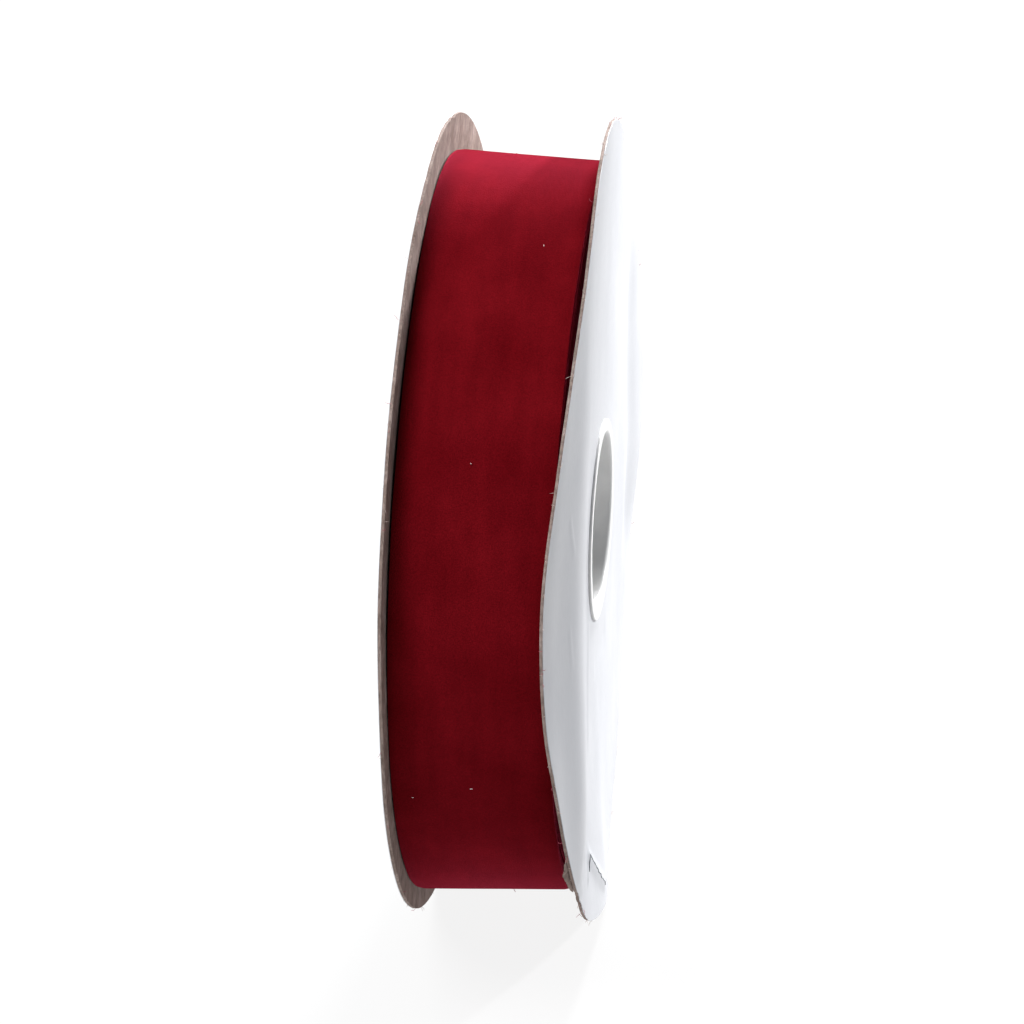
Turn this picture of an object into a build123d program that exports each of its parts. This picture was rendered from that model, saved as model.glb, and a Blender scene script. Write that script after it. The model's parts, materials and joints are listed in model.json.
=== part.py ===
from build123d import *
from math import cos, pi, radians, sin
import os

# Velvet ribbon wound on a flanged spool. The spool's axis lies along X and its centre is the origin.
# +Z is up when the spool stands on its rims, -Y is the front, and +X is the side of the hub's spigot.

os.makedirs("parts", exist_ok=True)

# --- Driving dimensions (millimetres, degrees) ---
flange_radius = 60.0
flange_gap = 23.0            # between the bare inner faces of the two boards
board_thickness = 0.45       # grey chipboard
facing_thickness = 0.10      # coated paper laminated to the board's outside
card_hole_radius = 14.4      # die-cut hole that the hub's barrel passes through
foot_flat_depth = 0.20       # rim pressed flat where the spool stands

bore_radius = 13.1           # runs on a 25.4 mm dispenser rod
barrel_radius = 14.3         # hub barrel, 1.2 mm wall
collar_radius = 15.2         # flat ring that traps the card
collar_height = 0.40
collar_edge_round = 0.20
bore_mouth_round = 0.60      # smooth lip that leads onto the rod
nose_length = 5.0            # the spigot's thin end, inside the socket
nose_clearance = 0.04        # radial, nose to counterbore
shoulder_x = 2.0             # where the spigot's barrel steps down to its nose
shoulder_gap = 0.10          # left between the two halves when the snap has closed
bead_height = 0.12           # snap ring on the nose
bead_width = 1.0
bead_offset = 1.0            # from the nose's tip to the middle of the bead

core_radius = 16.2           # outside of the paper drum
ribbon_width = 22.0
ribbon_length = 9144.0       # 10 yards
roll_radius = 54.8           # outside of the last turn
roll_bore_clearance = 0.12   # room for the starting tape
spiral_spans = 24            # arcs that make up one turn of the roll's outside
tail_thickness = 0.80
tail_root_angle = 15.0       # above the horizontal at the back, seen along the axis
tail_root_gap = 0.15         # angle left between the loose end and the step at its root
tail_arc = 29.5              # the loose end, hanging down the back of the roll
tape_thickness = 0.08
tape_gap = 0.05              # adhesive film between tape and pile
tape_width = 12.0
tail_tape_arc = 24.0         # half of it on the loose end and half past its cut
start_tape_arc = 70.0

# --- Derived sizes ---
inner_face_x = flange_gap / 2
board_face_x = inner_face_x + board_thickness
outer_face_x = board_face_x + facing_thickness
collar_face_x = outer_face_x + collar_height
roll_bore_radius = core_radius + roll_bore_clearance
roll_area = pi * (roll_radius**2 - roll_bore_radius**2)
turn_pitch = roll_area / ribbon_length
turn_count = (roll_radius - roll_bore_radius) / turn_pitch
tail_tip_angle = tail_root_angle - tail_root_gap - tail_arc
tail_inner_radius = roll_radius - tail_thickness
nose_wall = (barrel_radius - bore_radius - nose_clearance) / 2
nose_radius = bore_radius + nose_wall
counterbore_radius = nose_radius + nose_clearance
nose_tip_x = shoulder_x - nose_length
bead_x = nose_tip_x + bead_offset
bead_top = bead_width / 3


def polar(radius, angle):
    """Point of the YZ plane at an angle above the horizontal behind the spool."""
    return (radius * cos(radians(angle)), radius * sin(radians(angle)))


def spiral_point(turned):
    """Point of the last turn's outside, an angle back along the ribbon from the step."""
    return polar(roll_radius - turn_pitch * turned / 360, tail_root_angle + turned)


def ring_bump(centre_x, base_radius, height):
    """Profile points of a small trapezoidal ring, from -X to +X."""
    top_radius = base_radius + height
    return [
        (centre_x - bead_width / 2, base_radius),
        (centre_x - bead_top / 2, top_radius),
        (centre_x + bead_top / 2, top_radius),
        (centre_x + bead_width / 2, base_radius),
    ]


def draw_card_disc():
    """Outline of one die-cut disc in the open sketch, with the flat that it stands on."""
    Circle(flange_radius)
    with Locations((0, foot_flat_depth)):
        Rectangle(2 * flange_radius, 2 * flange_radius, mode=Mode.INTERSECT)
    Circle(card_hole_radius, mode=Mode.SUBTRACT)


def draw_arc_strip(inner_radius, thickness, start_angle, arc):
    """Outline of a curved strip in the open line, following a radius from start_angle down."""
    outer_radius = inner_radius + thickness
    end_angle = start_angle - arc
    middle_angle = start_angle - arc / 2
    ThreePointArc(
        polar(outer_radius, start_angle),
        polar(outer_radius, middle_angle),
        polar(outer_radius, end_angle),
    )
    Line(polar(outer_radius, end_angle), polar(inner_radius, end_angle))
    ThreePointArc(
        polar(inner_radius, end_angle),
        polar(inner_radius, middle_angle),
        polar(inner_radius, start_angle),
    )
    Line(polar(inner_radius, start_angle), polar(outer_radius, start_angle))


def save(part, name):
    part.label = name
    export_step(part, f"parts/{name}.step")


# --- Flanges: chipboard discs with a coated paper facing on the outside ---
with BuildPart() as near_flange_board:
    with BuildSketch(Plane.YZ.offset(inner_face_x)):
        draw_card_disc()
    extrude(amount=board_thickness)
save(near_flange_board.part, "near_flange_board")

with BuildPart() as near_flange_facing:
    with BuildSketch(Plane.YZ.offset(board_face_x)):
        draw_card_disc()
    extrude(amount=facing_thickness)
save(near_flange_facing.part, "near_flange_facing")

with BuildPart() as far_flange_board:
    with BuildSketch(Plane.YZ.offset(-inner_face_x)):
        draw_card_disc()
    extrude(amount=-board_thickness)
save(far_flange_board.part, "far_flange_board")

with BuildPart() as far_flange_facing:
    with BuildSketch(Plane.YZ.offset(-board_face_x)):
        draw_card_disc()
    extrude(amount=-facing_thickness)
save(far_flange_facing.part, "far_flange_facing")

# --- Hub: two snapped plastic halves whose collars trap the cards ---
# The spigot comes in from +X: collar, barrel, then a thin nose with a snap ring.
spigot_profile = [
    (nose_tip_x, bore_radius),
    (nose_tip_x, nose_radius),
    *ring_bump(bead_x, nose_radius, bead_height),
    (shoulder_x, nose_radius),
    (shoulder_x, barrel_radius),
    (outer_face_x, barrel_radius),
    (outer_face_x, collar_radius),
    (collar_face_x, collar_radius),
    (collar_face_x, bore_radius),
]
with BuildPart() as hub_spigot:
    with BuildSketch(Plane.XY):
        with BuildLine():
            Polyline(*spigot_profile, close=True)
        make_face()
    revolve(axis=Axis.X)
    face_rims = hub_spigot.edges().filter_by(GeomType.CIRCLE).group_by(Axis.X)[-1]
    fillet(face_rims.sort_by(SortBy.RADIUS)[-1], radius=collar_edge_round)
    mouth = hub_spigot.edges().filter_by(GeomType.CIRCLE).group_by(Axis.X)[-1]
    fillet(mouth.sort_by(SortBy.RADIUS)[0], radius=bore_mouth_round)
save(hub_spigot.part, "hub_spigot")

# The socket comes in from -X: collar, barrel, and a counterbore that takes the nose.
socket_face_x = shoulder_x - shoulder_gap
counterbore_floor_x = nose_tip_x - shoulder_gap
socket_profile = [
    (-collar_face_x, bore_radius),
    (-collar_face_x, collar_radius),
    (-outer_face_x, collar_radius),
    (-outer_face_x, barrel_radius),
    (socket_face_x, barrel_radius),
    (socket_face_x, counterbore_radius),
    *reversed(ring_bump(bead_x, counterbore_radius, bead_height)),
    (counterbore_floor_x, counterbore_radius),
    (counterbore_floor_x, bore_radius),
]
with BuildPart() as hub_socket:
    with BuildSketch(Plane.XY):
        with BuildLine():
            Polyline(*socket_profile, close=True)
        make_face()
    revolve(axis=Axis.X)
    face_rims = hub_socket.edges().filter_by(GeomType.CIRCLE).group_by(Axis.X)[0]
    fillet(face_rims.sort_by(SortBy.RADIUS)[-1], radius=collar_edge_round)
    mouth = hub_socket.edges().filter_by(GeomType.CIRCLE).group_by(Axis.X)[0]
    fillet(mouth.sort_by(SortBy.RADIUS)[0], radius=bore_mouth_round)
save(hub_socket.part, "hub_socket")

# --- Core: the paper drum between the boards ---
with BuildPart() as core_tube:
    with BuildSketch(Plane.YZ):
        Circle(core_radius)
        Circle(card_hole_radius, mode=Mode.SUBTRACT)
    extrude(amount=flange_gap / 2, both=True)
save(core_tube.part, "core_tube")

# --- Tape that fixes the ribbon's inner end to the drum ---
with BuildPart() as start_tape:
    with BuildSketch(Plane.YZ):
        with BuildLine():
            draw_arc_strip(core_radius, tape_thickness, tail_root_angle, start_tape_arc)
        make_face()
    extrude(amount=tape_width / 2, both=True)
save(start_tape.part, "start_tape")

# --- Wound ribbon: its outside is a spiral with a step of one turn where the loose end begins ---
with BuildPart() as ribbon_roll:
    with BuildSketch(Plane.YZ):
        with BuildLine():
            for span in range(spiral_spans):
                span_start, span_middle, span_end = (
                    spiral_point(360 * (span + part) / spiral_spans) for part in (0, 0.5, 1)
                )
                ThreePointArc(span_start, span_middle, span_end)
            Line(spiral_point(360), spiral_point(0))
        make_face()
        Circle(roll_bore_radius, mode=Mode.SUBTRACT)
    extrude(amount=ribbon_width / 2, both=True)
save(ribbon_roll.part, "ribbon_roll")

# --- Loose end of the ribbon, hinged along the step at its root ---
with BuildPart() as ribbon_tail:
    with BuildSketch(Plane.YZ):
        with BuildLine():
            tail_start = tail_root_angle - tail_root_gap
            draw_arc_strip(tail_inner_radius, tail_thickness, tail_start, tail_arc)
        make_face()
    extrude(amount=ribbon_width / 2, both=True)
save(ribbon_tail.part, "ribbon_tail")

# --- Clear tape across the cut end, which lifts with the loose end ---
with BuildPart() as tail_tape:
    with BuildSketch(Plane.YZ):
        tape_start = tail_tip_angle + tail_tape_arc / 2
        with BuildLine():
            draw_arc_strip(roll_radius + tape_gap, tape_thickness, tape_start, tail_tape_arc)
        make_face()
    extrude(amount=tape_width / 2, both=True)
save(tail_tape.part, "tail_tape")

hinge_y, hinge_z = polar(roll_radius, tail_root_angle)
print(f"turn pitch {turn_pitch:.3f} mm, {turn_count:.1f} turns")
print(f"loose end hinge at y {hinge_y:.3f} z {hinge_z:.3f}")
print(f"collar face at x {collar_face_x:.3f}, outer face {outer_face_x:.3f}")
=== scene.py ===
import json
import math

import bpy
import numpy as np
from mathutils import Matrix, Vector


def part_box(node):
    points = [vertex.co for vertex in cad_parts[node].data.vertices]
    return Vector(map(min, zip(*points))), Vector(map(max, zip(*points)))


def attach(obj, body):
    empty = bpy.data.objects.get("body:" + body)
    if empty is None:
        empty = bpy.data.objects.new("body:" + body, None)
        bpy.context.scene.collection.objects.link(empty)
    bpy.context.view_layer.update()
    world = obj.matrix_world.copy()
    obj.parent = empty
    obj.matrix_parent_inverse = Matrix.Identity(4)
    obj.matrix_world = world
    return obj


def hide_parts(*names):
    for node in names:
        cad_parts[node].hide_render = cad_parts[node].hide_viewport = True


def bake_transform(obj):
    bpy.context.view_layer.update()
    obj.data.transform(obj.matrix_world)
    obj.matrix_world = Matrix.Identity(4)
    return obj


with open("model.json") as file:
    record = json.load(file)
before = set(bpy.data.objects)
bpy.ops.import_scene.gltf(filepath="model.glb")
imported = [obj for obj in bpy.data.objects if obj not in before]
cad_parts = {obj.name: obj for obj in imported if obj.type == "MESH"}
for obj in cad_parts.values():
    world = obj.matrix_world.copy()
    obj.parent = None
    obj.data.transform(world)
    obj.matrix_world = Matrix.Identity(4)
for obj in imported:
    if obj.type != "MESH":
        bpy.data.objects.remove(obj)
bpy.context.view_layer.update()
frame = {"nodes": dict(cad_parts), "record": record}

MM = 0.001

# ---------------------------------------------------------------- sizes read from the frame
BOARD_LOW, BOARD_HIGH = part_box("near_flange_board")
_, FACING_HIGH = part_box("near_flange_facing")
ROLL_LOW, ROLL_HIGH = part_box("ribbon_roll")
_, CORE_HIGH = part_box("core_tube")
TAPE_LOW, TAPE_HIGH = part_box("tail_tape")
JOINT = frame["record"]["behaviour"]["joints"][0]

RIM_R = BOARD_HIGH[1]                      # flange radius
FOOT_Z = BOARD_LOW[2]                      # the rim's pressed flat, which stands on the table
INNER_X = BOARD_LOW[0]                     # bare inner face of each board, from the middle
BOARD_X = BOARD_HIGH[0]
OUTER_X = FACING_HIGH[0]
HOLE_R = 14.4 * MM                         # die-cut hole round the hub's barrel
CORE_R = CORE_HIGH[2]
HINGE = Vector(JOINT["pos_m"])
ROLL_R = math.hypot(HINGE.y, HINGE.z)      # outside of the last turn, at the step
ROOT_ANGLE = math.atan2(HINGE.z, HINGE.y)  # measured behind the spool, up from the horizontal
RIBBON_W = ROLL_HIGH[0] - ROLL_LOW[0]
RIBBON_LENGTH = 9.144                      # ten yards
ROLL_BORE_R = CORE_R + 0.12 * MM           # leaves room for the starting tape
PITCH = math.pi * (ROLL_R**2 - ROLL_BORE_R**2) / RIBBON_LENGTH
TAIL_ARC = math.radians(29.5)              # the loose end, down from the step
TAPE_ARC = math.radians(24.0)              # half of it on the loose end, half past its cut
TAPE_W = TAPE_HIGH[0] - TAPE_LOW[0]


# ---------------------------------------------------------------- small helpers
def smooth(t):
    t = np.clip(t, 0.0, 1.0)
    return t * t * (3 - 2 * t)


def wave_noise(seed, coordinates, octaves=4, lowest=1.0):
    """Smooth, repeatable noise of about -1 to 1, as a sum of sines of the coordinate rows."""
    local = np.random.default_rng(seed)
    coordinates = np.broadcast_arrays(*coordinates)
    total = np.zeros(coordinates[0].shape)
    weight = 0.0
    for octave in range(octaves):
        scale = lowest * 1.9**octave
        for _ in range(3):
            direction = local.normal(size=len(coordinates))
            direction /= np.linalg.norm(direction)
            phase = local.uniform(0, 2 * math.pi)
            along = sum(d * c for d, c in zip(direction, coordinates))
            total += np.sin(2 * math.pi * scale * along + phase) / 1.5**octave
            weight += 0.6 / 1.5**octave
    return total / weight


def make_object(name, points, faces, material, sharp_angle=None):
    """A mesh object from an (n, 3) array in metres and a list of faces."""
    mesh = bpy.data.meshes.new(name)
    mesh.from_pydata([tuple(p) for p in points], [], faces)
    mesh.update()
    mesh.polygons.foreach_set("use_smooth", [True] * len(mesh.polygons))
    if sharp_angle is not None:
        mesh.set_sharp_from_angle(angle=math.radians(sharp_angle))
    piece = bpy.data.objects.new(name, mesh)
    bpy.context.scene.collection.objects.link(piece)
    mesh.materials.append(material)
    return piece


def grid_faces(rows, columns, closed_rows=False, closed_columns=False):
    """Quads of a rows x columns point grid, row by row."""
    faces = []
    for i in range(rows if closed_rows else rows - 1):
        for j in range(columns if closed_columns else columns - 1):
            a = i * columns + j
            b = i * columns + (j + 1) % columns
            c = ((i + 1) % rows) * columns + (j + 1) % columns
            d = ((i + 1) % rows) * columns + j
            faces.append((a, b, c, d))
    return faces


# ---------------------------------------------------------------- materials
def new_material(name):
    material = bpy.data.materials.new(name)
    material.use_nodes = True
    nodes = material.node_tree.nodes
    nodes.clear()
    output = nodes.new("ShaderNodeOutputMaterial")
    shader = nodes.new("ShaderNodeBsdfPrincipled")
    material.node_tree.links.new(shader.outputs["BSDF"], output.inputs["Surface"])
    return material, nodes, material.node_tree.links, shader


def position_node(nodes, links, scale):
    """Object coordinates in metres, scaled, so a pattern keeps its real size."""
    source = nodes.new("ShaderNodeTexCoord")
    mapping = nodes.new("ShaderNodeMapping")
    mapping.inputs["Scale"].default_value = scale
    links.new(source.outputs["Object"], mapping.inputs["Vector"])
    return mapping.outputs["Vector"]


def noise_node(nodes, links, vector, scale, detail=4.0, roughness=0.55):
    noise = nodes.new("ShaderNodeTexNoise")
    noise.inputs["Scale"].default_value = scale
    noise.inputs["Detail"].default_value = detail
    noise.inputs["Roughness"].default_value = roughness
    links.new(vector, noise.inputs["Vector"])
    return noise.outputs["Fac"]


def ramp_node(nodes, links, factor, stops):
    ramp = nodes.new("ShaderNodeValToRGB")
    elements = ramp.color_ramp.elements
    while len(elements) < len(stops):
        elements.new(0.5)
    for element, (position, colour) in zip(elements, stops):
        element.position = position
        element.color = (*colour, 1.0)
    links.new(factor, ramp.inputs["Fac"])
    return ramp.outputs["Color"]


def mix_node(nodes, links, blend_type, factor, first, second):
    mix = nodes.new("ShaderNodeMix")
    mix.data_type = "RGBA"
    mix.blend_type = blend_type
    if isinstance(factor, (int, float)):
        mix.inputs["Factor"].default_value = factor
    else:
        links.new(factor, mix.inputs["Factor"])
    for socket, value in ((mix.inputs["A"], first), (mix.inputs["B"], second)):
        if isinstance(value, tuple):
            socket.default_value = (*value, 1.0)
        else:
            links.new(value, socket)
    return mix.outputs["Result"]


def bump_node(nodes, links, height, strength, distance, previous=None):
    bump = nodes.new("ShaderNodeBump")
    bump.inputs["Strength"].default_value = strength
    bump.inputs["Distance"].default_value = distance
    links.new(height, bump.inputs["Height"])
    if previous is not None:
        links.new(previous, bump.inputs["Normal"])
    return bump.outputs["Normal"]


def grey(value):
    return (value, value, value)


def velvet_material():
    """Deep red pile: dark where it is seen end-on, with a pale sheen where it is seen along."""
    material, nodes, links, shader = new_material("velvet")
    around = position_node(nodes, links, (1.0, 1.0, 1.0))
    lengthwise = position_node(nodes, links, (1.0, 0.12, 0.12))
    patches = noise_node(nodes, links, around, 90.0, 3.0)
    streaks = noise_node(nodes, links, lengthwise, 420.0, 4.0)
    pile = noise_node(nodes, links, around, 5200.0, 2.0)
    base = ramp_node(
        nodes, links, patches,
        [
            (0.30, (0.105, 0.0022, 0.0044)),
            (0.52, (0.125, 0.0030, 0.0058)),
            (0.74, (0.150, 0.0040, 0.0074)),
        ],
    )
    streaked = ramp_node(nodes, links, streaks, [(0.35, grey(0.86)), (0.65, grey(1.0))])
    grain = ramp_node(nodes, links, pile, [(0.30, grey(0.72)), (0.70, grey(1.12))])
    colour = mix_node(nodes, links, "MULTIPLY", 1.0, base, streaked)
    colour = mix_node(nodes, links, "MULTIPLY", 1.0, colour, grain)
    links.new(colour, shader.inputs["Base Color"])
    normal = bump_node(nodes, links, pile, 0.55, 0.00012)
    normal = bump_node(nodes, links, streaks, 0.12, 0.0004, normal)
    links.new(normal, shader.inputs["Normal"])
    shader.inputs["Roughness"].default_value = 0.92
    shader.inputs["Specular IOR Level"].default_value = 0.0
    shader.inputs["Sheen Weight"].default_value = 0.9
    shader.inputs["Sheen Roughness"].default_value = 0.32
    shader.inputs["Sheen Tint"].default_value = (0.70, 0.060, 0.120, 1.0)
    return material


def chipboard_material():
    """Recycled grey-brown board: long pale and dark fibres in a mottled ground."""
    material, nodes, links, shader = new_material("chipboard")
    plain = position_node(nodes, links, (1.0, 1.0, 1.0))
    drawn = position_node(nodes, links, (1.0, 1.0, 0.22))
    mottle = noise_node(nodes, links, plain, 260.0, 5.0)
    fibres = noise_node(nodes, links, drawn, 2600.0, 5.0, 0.7)
    specks = noise_node(nodes, links, plain, 1900.0, 2.0)
    base = ramp_node(
        nodes, links, mottle,
        [
            (0.30, (0.168, 0.124, 0.107)),
            (0.50, (0.222, 0.170, 0.151)),
            (0.72, (0.296, 0.242, 0.222)),
        ],
    )
    strands = ramp_node(
        nodes, links, fibres,
        [(0.33, (0.60, 0.56, 0.53)), (0.50, grey(1.0)), (0.70, (1.42, 1.38, 1.34))],
    )
    dark_specks = ramp_node(nodes, links, specks, [(0.24, (0.45, 0.42, 0.42)), (0.31, grey(1.0))])
    colour = mix_node(nodes, links, "MULTIPLY", 1.0, base, strands)
    colour = mix_node(nodes, links, "MULTIPLY", 0.8, colour, dark_specks)
    links.new(colour, shader.inputs["Base Color"])
    normal = bump_node(nodes, links, fibres, 0.5, 0.00010)
    links.new(normal, shader.inputs["Normal"])
    shader.inputs["Roughness"].default_value = 0.88
    shader.inputs["Specular IOR Level"].default_value = 0.15
    return material


def coated_paper_material(name, dark, pale):
    """Clay-coated paper with the faint print-through of the board below, in the given colours: white
    for the far facing, grey with painted shade for the near one.
    """
    material, nodes, links, shader = new_material(name)
    plain = position_node(nodes, links, (1.0, 1.0, 1.0))
    cloud = noise_node(nodes, links, plain, 55.0, 3.0)
    peel = noise_node(nodes, links, plain, 900.0, 3.0)
    tooth = noise_node(nodes, links, plain, 7000.0, 2.0)
    colour = ramp_node(nodes, links, cloud, [(0.30, dark), (0.70, pale)])
    links.new(colour, shader.inputs["Base Color"])
    gloss = nodes.new("ShaderNodeMapRange")
    gloss.inputs["To Min"].default_value = 0.30
    gloss.inputs["To Max"].default_value = 0.42
    links.new(peel, gloss.inputs["Value"])
    links.new(gloss.outputs["Result"], shader.inputs["Roughness"])
    normal = bump_node(nodes, links, peel, 0.10, 0.00020)
    normal = bump_node(nodes, links, tooth, 0.06, 0.00004, normal)
    links.new(normal, shader.inputs["Normal"])
    shader.inputs["Specular IOR Level"].default_value = 0.05
    return material


def hub_plastic_material():
    """White moulded plastic with a soft gloss and faint tooling marks."""
    material, nodes, links, shader = new_material("hub_plastic")
    plain = position_node(nodes, links, (1.0, 1.0, 1.0))
    drawn = position_node(nodes, links, (0.06, 1.0, 1.0))
    cloud = noise_node(nodes, links, plain, 160.0, 3.0)
    tooling = noise_node(nodes, links, drawn, 2400.0, 3.0)
    colour = ramp_node(
        nodes, links, cloud, [(0.30, (0.520, 0.520, 0.518)), (0.70, (0.585, 0.584, 0.578))]
    )
    links.new(colour, shader.inputs["Base Color"])
    links.new(bump_node(nodes, links, tooling, 0.12, 0.00005), shader.inputs["Normal"])
    shader.inputs["Roughness"].default_value = 0.34
    shader.inputs["Subsurface Weight"].default_value = 0.10
    shader.inputs["Subsurface Radius"].default_value = (0.0012, 0.0011, 0.0010)
    return material


DRUM_PLY_W = 0.018                         # width of the paper strips the drum is wound from


def kraft_material():
    """Brown paper drum with the spiral seams of its winding."""
    material, nodes, links, shader = new_material("kraft_board")
    source = nodes.new("ShaderNodeTexCoord")
    split = nodes.new("ShaderNodeSeparateXYZ")
    links.new(source.outputs["Object"], split.inputs["Vector"])
    angle = nodes.new("ShaderNodeMath")
    angle.operation = "ARCTAN2"
    links.new(split.outputs["Z"], angle.inputs[0])
    links.new(split.outputs["Y"], angle.inputs[1])
    turns = nodes.new("ShaderNodeMath")
    turns.operation = "MULTIPLY_ADD"
    turns.inputs[1].default_value = 1 / (2 * math.pi)
    links.new(angle.outputs["Value"], turns.inputs[0])
    along = nodes.new("ShaderNodeMath")
    along.operation = "MULTIPLY"
    along.inputs[1].default_value = 1 / DRUM_PLY_W
    links.new(split.outputs["X"], along.inputs[0])
    links.new(along.outputs["Value"], turns.inputs[2])
    ply = nodes.new("ShaderNodeMath")
    ply.operation = "FRACT"
    links.new(turns.outputs["Value"], ply.inputs[0])
    seam = ramp_node(
        nodes, links, ply.outputs["Value"],
        [(0.0, (0.45, 0.42, 0.40)), (0.03, (1.0, 1.0, 1.0)), (0.97, (0.94, 0.94, 0.94))],
    )
    plain = position_node(nodes, links, (1.0, 1.0, 1.0))
    fibres = noise_node(nodes, links, plain, 1800.0, 5.0, 0.65)
    base = ramp_node(
        nodes, links, fibres, [(0.32, (0.20, 0.130, 0.075)), (0.68, (0.36, 0.250, 0.155))]
    )
    links.new(mix_node(nodes, links, "MULTIPLY", 1.0, base, seam), shader.inputs["Base Color"])
    links.new(bump_node(nodes, links, fibres, 0.35, 0.00008), shader.inputs["Normal"])
    shader.inputs["Roughness"].default_value = 0.85
    return material


def clear_tape_material():
    """Thin clear film with a slightly warm, streaky adhesive."""
    material, nodes, links, shader = new_material("clear_tape")
    drawn = position_node(nodes, links, (1.0, 0.2, 0.2))
    streaks = noise_node(nodes, links, drawn, 700.0, 3.0)
    colour = ramp_node(
        nodes, links, streaks, [(0.35, (0.60, 0.55, 0.46)), (0.65, (0.74, 0.70, 0.62))]
    )
    links.new(colour, shader.inputs["Base Color"])
    links.new(bump_node(nodes, links, streaks, 0.15, 0.00006), shader.inputs["Normal"])
    shader.inputs["Roughness"].default_value = 0.28
    shader.inputs["Alpha"].default_value = 0.16
    return material


def fibre_and_crease_shade_material(name, dark, pale):
    """Loose fibre, a little uneven in colour along its length. The same material also gives the
    crease lines their painted shade.
    """
    material, nodes, links, shader = new_material(name)
    plain = position_node(nodes, links, (1.0, 1.0, 1.0))
    uneven = noise_node(nodes, links, plain, 900.0, 2.0)
    colour = ramp_node(nodes, links, uneven, [(0.3, dark), (0.7, pale)])
    links.new(colour, shader.inputs["Base Color"])
    shader.inputs["Roughness"].default_value = 0.9
    return material


VELVET = velvet_material()
CHIPBOARD = chipboard_material()
# The near facing is the same white paper darkened to a bluish grey: painted shade for the dim light
# on that face.
NEAR_PAPER_PAINTED_SHADE = coated_paper_material(
    "coated_paper", (0.385, 0.392, 0.415), (0.425, 0.430, 0.450)
)
FAR_WHITE_PAPER = coated_paper_material(
    "far_coated_paper", (0.660, 0.670, 0.685), (0.735, 0.740, 0.750)
)
HUB_PLASTIC = hub_plastic_material()
KRAFT = kraft_material()
CLEAR_TAPE = clear_tape_material()

# ---------------------------------------------------------------- the near flange's bends
# Outward bend of the near rim in millimetres, at clock angles in degrees from the top
# towards the front. The card has been handled: it is pushed in at the front and sprung
# out at the foot.
NEAR_RIM_BEND = [
    (5, 0.5), (34, 1.35), (55, 0.4), (77, -1.15), (93, -0.5), (106, 1.0), (124, 2.4),
    (152, 2.7), (169, 3.0), (181, 1.7), (205, 0.3), (238, -0.8), (262, 0.35), (285, -0.25),
    (334, -0.5),
]
BEND_START_R = 16.0 * MM


def periodic_curve(knots, angle):
    """Smooth closed curve through (degrees, value) knots, evaluated at angles in radians."""
    degrees = np.degrees(angle) % 360
    at = np.array([k[0] for k in knots], float)
    value = np.array([k[1] for k in knots], float)
    at = np.concatenate([at[-2:] - 360, at, at[:2] + 360])
    value = np.concatenate([value[-2:], value, value[:2]])
    slope = np.gradient(value, at)
    index = np.clip(np.searchsorted(at, degrees, side="right") - 1, 0, len(at) - 2)
    span = at[index + 1] - at[index]
    t = (degrees - at[index]) / span
    return (
        (2 * t**3 - 3 * t**2 + 1) * value[index]
        + (t**3 - 2 * t**2 + t) * span * slope[index]
        + (-2 * t**3 + 3 * t**2) * value[index + 1]
        + (t**3 - t**2) * span * slope[index + 1]
    )


def clock(y, z):
    """Angle from the top towards the front."""
    return np.arctan2(-y, z)


def ridge(y, z, start, end, width, height):
    """A soft crease line between two (y, z) points in millimetres, fading at both ends."""
    (y0, z0), (y1, z1) = start, end
    along_y, along_z = y1 - y0, z1 - z0
    length = math.hypot(along_y, along_z)
    py, pz = y / MM - y0, z / MM - z0
    t = (py * along_y + pz * along_z) / length**2
    side = (pz * along_y - py * along_z) / length
    fade = smooth(4 * t + 0.5) * smooth(4 * (1 - t) + 0.5)
    return height * MM * np.exp(-((side / width) ** 2)) * fade


# Soft creases of the near card: start and end (y, z), width and height, all in millimetres.
NEAR_RIDGES = [
    ((-39.5, 19), (-37.3, 12.5), 0.6, 0.12),
    ((-41.6, 3), (-41.8, -3), 0.6, 0.08),
    ((-15, -9), (-19, -28), 1.6, 0.20),
    ((-6, -22), (8, -23), 2.2, -0.12),
    ((-31.5, -44.5), (-28.3, -41.3), 0.8, 0.22),
    ((-28.8, -40.9), (-13.5, -55.3), 1.0, 0.30),
]
# The long bulge in front of the hub, in millimetres.
BULGE_Y, BULGE_LEAN = -36.5, 0.26          # its crest at mid height, and how far it leans with z
BULGE_HEIGHT, BULGE_SINK = 1.45, 0.030     # at mid height, and what it loses with z
BULGE_FRONT, BULGE_BACK = 9, 13            # its reach in front of the crest and behind it
# The shallow valley near the back rim, in millimetres.
VALLEY_DEPTH, VALLEY_Y, VALLEY_W = 0.7, 44, 6
# The crumpled patch low at the front, in millimetres.
CRUMPLE_Y, CRUMPLE_Z, CRUMPLE_DEPTH = -41, -37, 0.13


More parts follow.
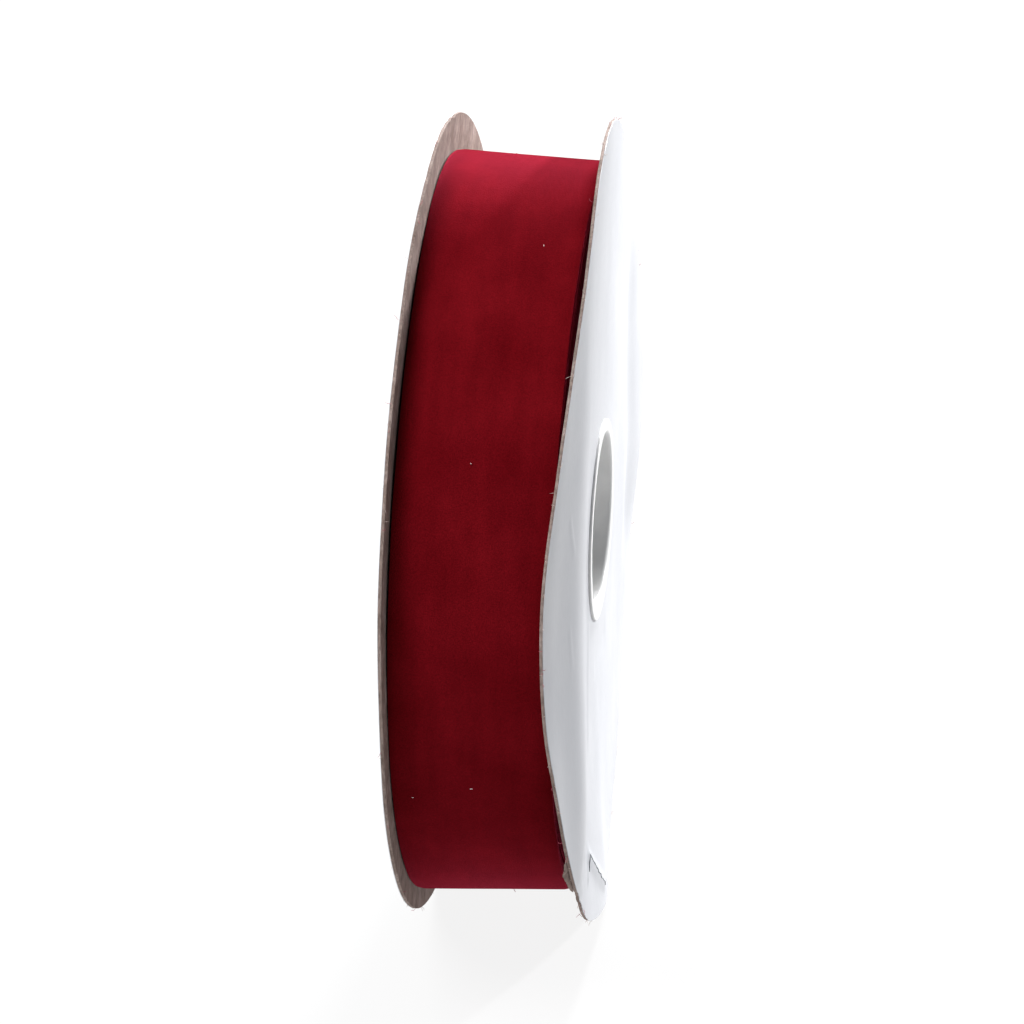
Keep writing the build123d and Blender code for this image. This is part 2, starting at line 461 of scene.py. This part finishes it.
def near_bend(y, z):
    """Displacement along +X of the near flange's card, in metres."""
    y_mm, z_mm = y / MM, z / MM
    radius = np.hypot(y, z)
    rim = periodic_curve(NEAR_RIM_BEND, clock(y, z)) * MM
    reach = np.clip((radius - BEND_START_R) / (RIM_R - BEND_START_R), 0, 1)
    shape = np.where(rim > 0, reach**1.7, reach**2.3)
    bend = rim * shape

    crest = BULGE_Y + BULGE_LEAN * z_mm
    in_front = np.minimum(y_mm - crest, 0)
    behind = np.maximum(y_mm - crest, 0)
    across = np.exp(-((in_front / BULGE_FRONT) ** 2) - (behind / BULGE_BACK) ** 2)
    across = across * smooth(reach * 5)
    height = BULGE_HEIGHT - BULGE_SINK * np.clip(z_mm, -30, 20)
    height = height * smooth((z_mm + 50) / 20) * smooth((48 - z_mm) / 30)
    bend += height * MM * across * (1 - reach**3)

    valley = VALLEY_DEPTH * MM * np.exp(-(((y_mm - VALLEY_Y) / VALLEY_W) ** 2))
    bend -= valley * smooth((z_mm + 32) / 14) * smooth((30 - z_mm) / 14)
    for start, end, width, rise in NEAR_RIDGES:
        bend += ridge(y, z, start, end, width, rise)
    crumpled = np.exp(-(((y_mm - CRUMPLE_Y) / 7) ** 2) - ((z_mm - CRUMPLE_Z) / 6) ** 2)
    bend += CRUMPLE_DEPTH * MM * crumpled * wave_noise(13, (y, z), 3, 105.0)
    bend += 0.05 * MM * wave_noise(11, (y, z), 3, 30.0) * smooth(reach * 5)
    return bend


FAR_WAVINESS = 0.18                        # millimetres, at the rim
FAR_PUSH, FAR_PUSH_CLOCK, FAR_PUSH_R = 0.75, -12, 51    # pushed out by the ribbon near the top


def far_bend(y, z):
    """The far flange is nearly flat: slightly wavy towards its rim, and pushed out near the top."""
    radius = np.hypot(y, z)
    reach = np.clip((radius - BEND_START_R) / (RIM_R - BEND_START_R), 0, 1)
    off_push = np.degrees(clock(y, z)) - FAR_PUSH_CLOCK
    pushed_out = np.exp(-((off_push / 30) ** 2) - ((radius / MM - FAR_PUSH_R) / 8) ** 2)
    waves = FAR_WAVINESS * reach**1.6 * wave_noise(23, (y, z), 3, 11.0)
    return MM * (waves - FAR_PUSH * pushed_out)


# ---------------------------------------------------------------- flanges
def rim_radius(angle, seed, roughness, nicks):
    """Die-cut outline: round, pressed flat at the foot, a little ragged, with a few nicks."""
    down = np.maximum(-np.cos(angle), 1e-6)
    foot = np.where(down > 0.9, -FOOT_Z / down, RIM_R)
    outline = np.minimum(RIM_R, foot)
    ragged = wave_noise(seed, (np.cos(angle), np.sin(angle)), 6, 2.3)
    for at, width, depth in nicks:
        off = (np.degrees(angle) - at + 180) % 360 - 180
        ragged_edge = 0.7 + 0.3 * np.sin(4 * off + seed)
        outline = outline - depth * MM * np.exp(-((off / width) ** 2)) * ragged_edge
    return outline - roughness * np.abs(ragged)


# Nicks in each rim: degrees from the top towards the front, half-width in degrees, depth in mm.
NEAR_NICKS = [(129, 1.2, 0.5), (133, 0.8, 0.35), (101, 0.5, 0.25), (-8, 0.6, 0.2)]
FAR_NICKS = [(-13, 1.1, 0.55), (-9, 0.7, 0.3), (12, 0.8, 0.25), (171, 0.9, 0.3)]


NEAR_MESH = (560, 72, NEAR_NICKS)          # points round, rings, nicks
FAR_MESH = (432, 46, FAR_NICKS)


def card_layer(name, side, inner_x, outer_x, bend, seed, rim_roughness, edge_rounding, material):
    """One layer of a flange as a closed bent disc with a hole. side is +1 near, -1 far."""
    columns, rings, nicks = NEAR_MESH if side > 0 else FAR_MESH
    angle = np.linspace(0, 2 * np.pi, columns, endpoint=False)
    spread = np.linspace(0, 1, rings) ** 0.8
    points = []

    def ring(radius, x):
        y, z = -radius * np.sin(angle), radius * np.cos(angle)
        depth = x * side + bend(y, z)
        points.append(np.stack([depth, y, z], 1))

    edge = rim_radius(angle, seed, rim_roughness, nicks)
    thickness = outer_x - inner_x
    for t in spread:
        ring(HOLE_R + (edge - edge_rounding - HOLE_R) * t, inner_x)
    crush = rim_roughness * 0.8
    for step in (0.2, 0.5, 0.8):
        wobble = wave_noise(seed + 5 + int(step * 10), (np.cos(angle), np.sin(angle)), 5, 6.0)
        wobble = crush * wobble
        ring(edge - np.abs(wobble), inner_x + thickness * step)
    for t in spread[::-1]:
        ring(HOLE_R + (edge - edge_rounding - HOLE_R) * t, outer_x)
    rows = len(points)
    faces = grid_faces(rows, columns, closed_rows=True, closed_columns=True)
    if side > 0:
        faces = [face[::-1] for face in faces]
    return make_object(name, np.concatenate(points), faces, material, sharp_angle=35)


def build_flange(label, side, bend, seed, paper):
    """Board and paper facing of one flange, bent together."""
    board = card_layer(
        f"{label}_flange_card", side, INNER_X, BOARD_X, bend, seed,
        rim_roughness=0.07 * MM, edge_rounding=0.06 * MM, material=CHIPBOARD,
    )
    facing = card_layer(
        f"{label}_flange_paper", side, BOARD_X, OUTER_X, bend, seed + 50,
        rim_roughness=0.03 * MM, edge_rounding=0.02 * MM, material=paper,
    )
    for piece, node, slot in (
        (board, f"{label}_flange_board", "chipboard"),
        (facing, f"{label}_flange_facing", "coated_paper"),
    ):
        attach(piece, "spool")
        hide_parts(node)


# ---------------------------------------------------------------- ribbon
PILE_H = 0.86 * MM                         # backing and pile
SELVEDGE = 0.55 * MM                       # where the pile thins towards the ribbon's edge
SAG_TURNS = 22                             # turns that have gone slack
TAIL_CLOCK = -88                           # middle of the loose end, from the top
SAG_CLOCK = 155                            # where the slack hangs lowest


def ribbon_profile(columns):
    """Half-widths (-1 to 1) and heights (0 to 1) round the ribbon's section, pile side first."""
    across = np.sin(np.linspace(-np.pi / 2, np.pi / 2, columns))
    from_edge = (1 - np.abs(across)) * RIBBON_W / 2
    height = 0.80 + 0.20 * smooth(from_edge / SELVEDGE)
    back = np.linspace(1, -1, 5)
    return np.concatenate([across, back]), np.concatenate([height, np.zeros(5)])


def roll_sag(turned, angle, half):
    """How far the outer turns stand out: they hang low and are fuller on the far side,
    except near the loose end."""
    depth = np.clip(1 - turned / (2 * np.pi * SAG_TURNS), 0, 1) ** 2
    from_front_top = np.degrees(angle) - 90
    off_tail = np.abs((from_front_top - TAIL_CLOCK + 180) % 360 - 180)
    fade = smooth((off_tail - 24) / 40)
    lean = np.cos(np.radians(from_front_top - SAG_CLOCK))
    return MM * depth * fade * (0.85 + 1.35 * lean - (0.55 + 0.18 * lean) * half)


def ribbon_points(turned, columns=17):
    """Rows of section points along the spiral. turned is the angle back from the step."""
    half, height = ribbon_profile(columns)
    turned = turned[:, None]
    angle = ROOT_ANGLE + turned
    outside = ROLL_R - PITCH * turned / (2 * np.pi)
    radius = outside - PILE_H * (1 - height)
    looseness = smooth(1 - turned / (2 * np.pi * 3))
    swell = wave_noise(31, (0.6 * np.cos(angle), 0.6 * np.sin(angle), 0.25 * half), 3, 1.6)
    radius = radius + 0.05 * MM * looseness * swell - 0.05 * MM * looseness
    radius = radius + roll_sag(turned, angle, half)
    wander = wave_noise(37, (angle / (2 * np.pi), 0 * angle), 3, 0.9)
    around = (np.degrees(angle) - 90 + 180) % 360 - 180
    far_fuller = 0.2 + 0.7 * np.exp(-(((around + 12) / 34) ** 2))
    near_fuller = 0.7 * np.exp(-(((around - 128) / 30) ** 2))
    fuller = near_fuller * (1 + half) / 2 - far_fuller * (1 - half) / 2
    x = half * RIBBON_W / 2 + 0.08 * MM * wander + fuller * looseness * MM
    edge_wave = wave_noise(41, (angle * 9 / (2 * np.pi), half), 3, 1.3)
    x = x + 0.05 * MM * edge_wave * np.abs(half) ** 6
    y, z = radius * np.cos(angle), radius * np.sin(angle)
    clearance = 0.14 * MM
    near_limit = INNER_X - clearance + near_bend(y, z)
    far_limit = -INNER_X + clearance + far_bend(y, z)
    squeeze = np.clip(np.minimum(near_limit - x, 0), -1.5 * MM, 0) * np.clip(half, 0, 1)
    x = np.clip(x + squeeze, far_limit, near_limit)
    return np.stack([x, y, z], 2)


def ribbon_piece(name, turned, columns=17):
    rows = ribbon_points(turned, columns)
    count, ring = rows.shape[:2]
    faces = grid_faces(count, ring, closed_columns=True)
    faces.append(tuple(range(ring)))
    faces.append(tuple((count - 1) * ring + k for k in reversed(range(ring))))
    return make_object(name, rows.reshape(-1, 3), faces, VELVET, sharp_angle=50)


def build_ribbon():
    """The whole ribbon as two strips: the turns, and the loose end that lifts off them."""
    joined = math.radians(12)                 # where the loose end's own piece begins
    last_turned = 2 * np.pi * (ROLL_R - ROLL_BORE_R - PILE_H) / PITCH
    fine = np.linspace(joined, joined + 4 * np.pi, 721)
    coarse = np.linspace(fine[-1], last_turned, 2330)[1:]
    roll = ribbon_piece("wound_ribbon", np.concatenate([fine, coarse]))
    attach(roll, "spool")
    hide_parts("ribbon_roll")

    tail = ribbon_piece("ribbon_loose_end", np.linspace(-TAIL_ARC, joined, 121), 25)
    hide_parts("ribbon_tail")
    return tail


# ---------------------------------------------------------------- tapes
def tape_strip(name, turned, radius, width, thickness):
    """Thin film across the ribbon, following radii given along it."""
    columns = 13
    half = np.linspace(-1, 1, columns)
    sheets = []
    for lift in (thickness, 0.0):
        r = (radius + lift)[:, None] + 0.02 * MM * wave_noise(53, (turned[:, None] * 3, half), 2)
        angle = ROOT_ANGLE + turned[:, None] + 0 * half
        x = np.broadcast_to(half * width / 2, angle.shape)
        sheets.append(np.stack([x, r * np.cos(angle), r * np.sin(angle)], 2))
    loop = np.concatenate([sheets[0], sheets[1][:, ::-1]], 1)
    count, ring = loop.shape[:2]
    faces = grid_faces(count, ring, closed_columns=True)
    faces.append(tuple(range(ring)))
    faces.append(tuple((count - 1) * ring + k for k in reversed(range(ring))))
    return make_object(name, loop.reshape(-1, 3), faces, CLEAR_TAPE, sharp_angle=40)


def build_tail_tape():
    """The tape over the loose end's cut, stepping down to the turn below it."""
    turned = np.linspace(-TAIL_ARC - TAPE_ARC / 2, -TAIL_ARC + TAPE_ARC / 2, 97)
    on_tail = ROLL_R - PITCH * turned / (2 * np.pi)
    on_turn_below = on_tail - PITCH
    past_cut = smooth((-TAIL_ARC - turned) * ROLL_R / (1.8 * MM))
    radius = on_tail + (on_turn_below - on_tail) * past_cut + 0.05 * MM
    tail_tape = tape_strip("clear_tail_tape", turned, radius, TAPE_W, 0.07 * MM)
    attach(tail_tape, "tail")
    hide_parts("tail_tape")


# ---------------------------------------------------------------- lint
def fibre(points, radius, start):
    """A thin five-sided tube through points, as vertices and faces."""
    points = np.array(points)
    ring = np.linspace(0, 2 * np.pi, 5, endpoint=False)
    vertices, faces = [], []
    for i, p in enumerate(points):
        ahead = points[min(i + 1, len(points) - 1)] - points[max(i - 1, 0)]
        ahead = ahead / np.linalg.norm(ahead)
        side = np.cross(ahead, (0.31, 0.52, 0.79))
        side /= np.linalg.norm(side)
        up = np.cross(ahead, side)
        taper = 0.55 + 0.45 * math.sin(math.pi * i / (len(points) - 1))
        for a in ring:
            vertices.append(p + radius * taper * (math.cos(a) * side + math.sin(a) * up))
    for i in range(len(points) - 1):
        for j in range(5):
            a = start + i * 5 + j
            b = start + i * 5 + (j + 1) % 5
            faces.append((a, b, b + 5, a + 5))
    faces.append(tuple(start + j for j in reversed(range(5))))
    faces.append(tuple(start + (len(points) - 1) * 5 + j for j in range(5)))
    return vertices, faces


def build_lint(name, material, starts, length, radius, lean):
    """Short curled fibres that start at given (point, outward direction) pairs."""
    local = np.random.default_rng(sum(map(ord, name)))
    vertices, faces = [], []
    for origin, outward in starts:
        heading = np.array(outward) * lean + local.normal(size=3) * 0.6
        heading /= np.linalg.norm(heading)
        reach = length * local.uniform(0.5, 1.3)
        path = [np.array(origin)]
        for _ in range(6):
            heading = heading + local.normal(size=3) * 0.28
            heading /= np.linalg.norm(heading)
            path.append(path[-1] + heading * reach / 6)
        more, quads = fibre(path, radius, len(vertices))
        vertices += more
        faces += quads
    piece = make_object(name, np.array(vertices), faces, material)
    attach(piece, "spool")


def rim_starts(count, side, bend, seed):
    """Random points on a rim's edge, with the direction away from the axis."""
    local = np.random.default_rng(seed)
    starts = []
    for _ in range(count):
        angle = local.uniform(0, 2 * math.pi)
        if abs(math.cos(angle) + 1) < 0.02:
            continue
        radius = RIM_R - 0.10 * MM
        y, z = -radius * math.sin(angle), radius * math.cos(angle)
        x = side * local.uniform(INNER_X + 0.05 * MM, BOARD_X)
        x = x + float(bend(np.array(y), np.array(z)))
        starts.append(((x, y, z), (0.0, y / radius, z / radius)))
    return starts


# Specks of lint on the ribbon: millimetres from the middle, degrees from the top towards the front.
RIBBON_SPECKS = [
    (-0.9, 57), (-8.5, 110), (0.2, 108), (5.6, 19), (-4.5, 205), (2.5, 152), (7.0, 232), (-3.0, -21),
]


def pile_starts(specks):
    """Points on the wound ribbon's outside."""
    starts = []
    for x, degrees in specks:
        angle = math.radians(degrees + 90)
        turned = (angle - ROOT_ANGLE) % (2 * math.pi)
        half = np.array(x * MM / (RIBBON_W / 2))
        sag = float(roll_sag(np.array(turned), np.array(ROOT_ANGLE + turned), half))
        radius = ROLL_R - PITCH * turned / (2 * math.pi) + sag + 0.02 * MM
        outward = (0.0, math.cos(angle), math.sin(angle))
        starts.append(((x * MM, radius * outward[1], radius * outward[2]), outward))
    return starts


def near_surface(y, z, lift):
    """Point on the near paper's outside, lifted off it by lift."""
    return np.array([OUTER_X + float(near_bend(np.array(y), np.array(z))) + lift, y, z])


def crease_line_path(points_mm, seed, step=0.5, wander=0.10):
    """A slightly crooked line over the near paper through (y, z) points in millimetres."""
    local = np.random.default_rng(seed)
    path = []
    for (y0, z0), (y1, z1) in zip(points_mm, points_mm[1:]):
        count = max(2, int(math.hypot(y1 - y0, z1 - z0) / step))
        for i in range(count):
            t = i / count
            y = (y0 + (y1 - y0) * t + local.normal() * wander) * MM
            z = (z0 + (z1 - z0) * t + local.normal() * wander) * MM
            path.append(near_surface(y, z, 0.01 * MM))
    path.append(near_surface(points_mm[-1][0] * MM, points_mm[-1][1] * MM, 0.01 * MM))
    return path


def build_crease_shade_lines(name, lines, radius, material):
    """Thin dark tubes along the paper's sharpest creases: painted shade for the shadow inside them.
    """
    vertices, faces = [], []
    for seed, line in enumerate(lines):
        more, quads = fibre(crease_line_path(line, seed + 17), radius, len(vertices))
        vertices += more
        faces += quads
    piece = make_object(name, np.array(vertices), faces, material)
    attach(piece, "spool")


def build_torn_ply():
    """Inner ply of the near board, split from it at the rim and curled towards the ribbon."""
    rows, columns = 49, 9
    start, end = math.radians(118.3), math.radians(127.0)
    local = np.random.default_rng(12)
    ragged = 0.75 + 0.25 * wave_noise(77, (np.linspace(0, 1, rows),), 5, 2.0)
    ragged = ragged + 0.06 * local.normal(size=rows)
    layers = []
    for lift in (0.0, 0.13 * MM):
        points = []
        for i in range(rows):
            t = i / (rows - 1)
            angle = start + (end - start) * t
            reach = 0.85 * MM * math.sin(math.pi * t) ** 0.6 * max(ragged[i], 0.2)
            root = RIM_R - 0.5 * MM
            for j in range(columns):
                s = j / (columns - 1)
                radius = root + 0.75 * MM * math.sin(1.5 * s) + 0.12 * MM * math.sin(9 * t + 3 * s)
                y, z = -radius * math.sin(angle), radius * math.cos(angle)
                x = INNER_X + float(near_bend(np.array(y), np.array(z))) - reach * s**1.2 - lift
                points.append((x, y, z))
        layers.append(np.array(points).reshape(rows, columns, 3))
    loop = np.concatenate([layers[0], layers[1][:, ::-1]], 1)
    ring = loop.shape[1]
    faces = grid_faces(rows, ring, closed_columns=True)
    faces.append(tuple(range(ring)))
    faces.append(tuple((rows - 1) * ring + k for k in reversed(range(ring))))
    piece = make_object("near_torn_ply", loop.reshape(-1, 3), faces, CHIPBOARD, sharp_angle=40)
    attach(piece, "spool")


# ---------------------------------------------------------------- build everything
build_flange("near", 1, near_bend, 61, NEAR_PAPER_PAINTED_SHADE)
build_flange("far", -1, far_bend, 71, FAR_WHITE_PAPER)
TAIL = build_ribbon()
build_tail_tape()

PAPER_LINT = fibre_and_crease_shade_material("paper_lint", (0.42, 0.30, 0.26), (0.72, 0.60, 0.56))
RED_LINT = fibre_and_crease_shade_material("red_lint", (0.22, 0.02, 0.04), (0.50, 0.12, 0.16))
PALE_LINT = fibre_and_crease_shade_material("pale_lint", (0.60, 0.42, 0.42), (0.85, 0.78, 0.76))
# name, material, starting points, length and radius in mm, how strongly the fibres point outwards
for name, material, starts, length, radius, lean in (
    ("near_rim_fibres", PAPER_LINT, rim_starts(90, 1, near_bend, 3), 0.9, 0.028, 0.6),
    ("far_rim_fibres", PAPER_LINT, rim_starts(70, -1, far_bend, 4), 0.8, 0.026, 0.6),
    ("near_rim_velvet_lint", RED_LINT, rim_starts(40, 1, near_bend, 5), 1.0, 0.032, 0.4),
    ("far_rim_velvet_lint", RED_LINT, rim_starts(30, -1, far_bend, 6), 1.0, 0.030, 0.4),
    ("ribbon_specks", PALE_LINT, pile_starts(RIBBON_SPECKS), 0.45, 0.06, 0.15),
):
    build_lint(name, material, starts, length * MM, radius * MM, lean)

# Painted shade: dark grey lines laid in the near paper's creases, standing for their shadow.
CREASE_SHADE_MATERIAL = fibre_and_crease_shade_material("painted_crease_shade", (0.16, 0.17, 0.18), (0.42, 0.43, 0.44))
build_crease_shade_lines(
    "near_paper_crease_shade",
    [
        [(-30.3, -43.4), (-29.4, -42.3), (-28.2, -41.1)],
        [(-28.6, -41.2), (-23, -46.0), (-17.5, -51.6), (-14.1, -54.7)],
        [(-14.8, -54.2), (-14.0, -55.0), (-13.7, -54.8)],
    ],
    0.12 * MM,
    CREASE_SHADE_MATERIAL,
)
build_torn_ply()

for node, material in (
    ("hub_spigot", HUB_PLASTIC),
    ("hub_socket", HUB_PLASTIC),
    ("core_tube", KRAFT),
    ("start_tape", CLEAR_TAPE),
):
    mesh = frame["nodes"][node].data
    mesh.materials.clear()
    mesh.materials.append(material)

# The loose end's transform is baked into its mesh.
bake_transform(TAIL)


# ---------------------------------------------------------------- studio
def build_floor():
    mesh = bpy.data.meshes.new("studio_floor")
    reach = 6.0
    mesh.from_pydata(
        [
            (-reach, -reach, FOOT_Z), (reach, -reach, FOOT_Z),
            (reach, reach, FOOT_Z), (-reach, reach, FOOT_Z),
        ],
        [],
        [(0, 1, 2, 3)],
    )
    floor = bpy.data.objects.new("studio_floor", mesh)
    bpy.context.scene.collection.objects.link(floor)
    material, _, _, shader = new_material("studio_floor")
    shader.inputs["Base Color"].default_value = (0.07, 0.07, 0.07, 1.0)
    shader.inputs["Roughness"].default_value = 0.9
    shader.inputs["Specular IOR Level"].default_value = 0.0
    shader.inputs["Emission Color"].default_value = (1.0, 1.0, 1.0, 1.0)
    shader.inputs["Emission Strength"].default_value = 0.88
    mesh.materials.append(material)


def area_light(name, location, target, size, power):
    light = bpy.data.lights.new(name, "AREA")
    light.shape = "RECTANGLE"
    light.size, light.size_y = size
    light.energy = power
    lamp = bpy.data.objects.new(name, light)
    lamp.location = location
    lamp.rotation_euler = (Vector(target) - Vector(location)).to_track_quat("-Z", "Y").to_euler()
    bpy.context.scene.collection.objects.link(lamp)


def flagged_light(name, location, target, cone_degrees, softness, power):
    """A soft spot whose faded edge is set to fall across the object."""
    light = bpy.data.lights.new(name, "SPOT")
    light.spot_size = math.radians(cone_degrees)
    light.spot_blend = softness
    light.shadow_soft_size = 0.04
    light.energy = power
    lamp = bpy.data.objects.new(name, light)
    lamp.location = location
    lamp.rotation_euler = (Vector(target) - Vector(location)).to_track_quat("-Z", "Y").to_euler()
    bpy.context.scene.collection.objects.link(lamp)


def build_lights():
    """A softbox behind, almost edge-on to the discs, one above and a side light, in a pale dome."""
    middle = (0, 0, 0)
    area_light("back_softbox", (0.115, 1.08, 0.46), middle, size=(0.11, 0.75), power=32.0)
    area_light("top_softbox", (-0.42, -0.40, 1.04), middle, size=(0.4, 0.7), power=18.0)
    flagged_light(
        "side_back_spot", (0.79, 0.65, 0.42), (0.0135, 0.193, -0.012),
        cone_degrees=22.0, softness=0.20, power=95.0,
    )
    world = bpy.data.worlds.new("studio_dome")
    world.use_nodes = True
    nodes, links = world.node_tree.nodes, world.node_tree.links
    direction = nodes.new("ShaderNodeTexCoord")
    split = nodes.new("ShaderNodeSeparateXYZ")
    links.new(direction.outputs["Generated"], split.inputs["Vector"])
    dome = ramp_node(
        nodes, links, split.outputs["Z"],
        [
            (0.0, grey(0.98)),
            (0.08, (0.96, 0.96, 0.97)),
            (0.22, (0.16, 0.17, 0.19)),
            (1.0, (0.14, 0.15, 0.17)),
        ],
    )
    background = nodes["Background"]
    links.new(dome, background.inputs["Color"])
    background.inputs["Strength"].default_value = 1.0
    bpy.context.scene.world = world


AZIMUTH, ELEVATION = 7.63, 25.82           # degrees: to the right of the ribbon, and above it
DISTANCE = 612.7 * MM
AIM_RIGHT, AIM_UP = -1.30 * MM, 0.46 * MM  # what the camera points at, from the spool's middle
SENSOR_WIDTH, FOCAL_LENGTH = 36.0, 142.9   # millimetres


def build_camera():
    """Camera at the photograph's angle."""
    azimuth, elevation = math.radians(AZIMUTH), math.radians(ELEVATION)
    back = Vector((
        math.sin(azimuth) * math.cos(elevation),
        -math.cos(azimuth) * math.cos(elevation),
        math.sin(elevation),
    ))
    right = Vector((math.cos(azimuth), math.sin(azimuth), 0.0))
    up = back.cross(right)
    aim = AIM_RIGHT * right + AIM_UP * up
    data = bpy.data.cameras.new("camera")
    data.sensor_width = SENSOR_WIDTH
    data.lens = FOCAL_LENGTH
    data.clip_start, data.clip_end = 0.01, 50.0
    camera = bpy.data.objects.new("camera", data)
    camera.location = aim + back * DISTANCE
    camera.rotation_mode = "QUATERNION"
    camera.rotation_quaternion = (-back).to_track_quat("-Z", "Y")
    bpy.context.scene.collection.objects.link(camera)
    bpy.context.scene.camera = camera


build_floor()
build_lights()
build_camera()
bpy.context.scene.view_settings.view_transform = "Standard"
